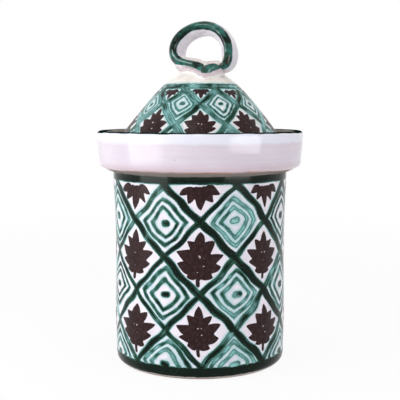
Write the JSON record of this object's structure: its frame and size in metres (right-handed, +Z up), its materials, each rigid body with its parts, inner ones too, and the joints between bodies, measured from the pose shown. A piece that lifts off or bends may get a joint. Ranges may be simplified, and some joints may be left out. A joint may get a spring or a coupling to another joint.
{
  "type": "lidded ceramic jar",
  "caption": "Straight-sided glazed jar with a wide gallery collar and a conical lid lifted by a strap loop handle.",
  "frame": {"origin": "centre of the foot's resting plane", "axes": "+Z up along the jar's turning axis, -Y towards the front, where the handle's lapped end faces"},
  "size_m": [0.1632, 0.1632, 0.2698],
  "materials": {
    "painted_body": "gloss",
    "lilac_white_glaze": "gloss",
    "painted_lid": "gloss",
    "cream_glaze": "gloss",
    "green_glaze": "gloss"
  },
  "bodies": {
    "pot": {"pot_body": "painted_body", "gallery_collar": "lilac_white_glaze"},
    "lid": {"lid_dome": "painted_lid", "lid_flange": "cream_glaze", "handle_wad": "cream_glaze", "handle_loop": "green_glaze"}
  },
  "joints": [
    {"name": "lid_lift", "type": "slide", "parent": "pot", "child": "lid", "axis": [0, 0, 1], "range_m": [0, 0.1]}
  ]
}
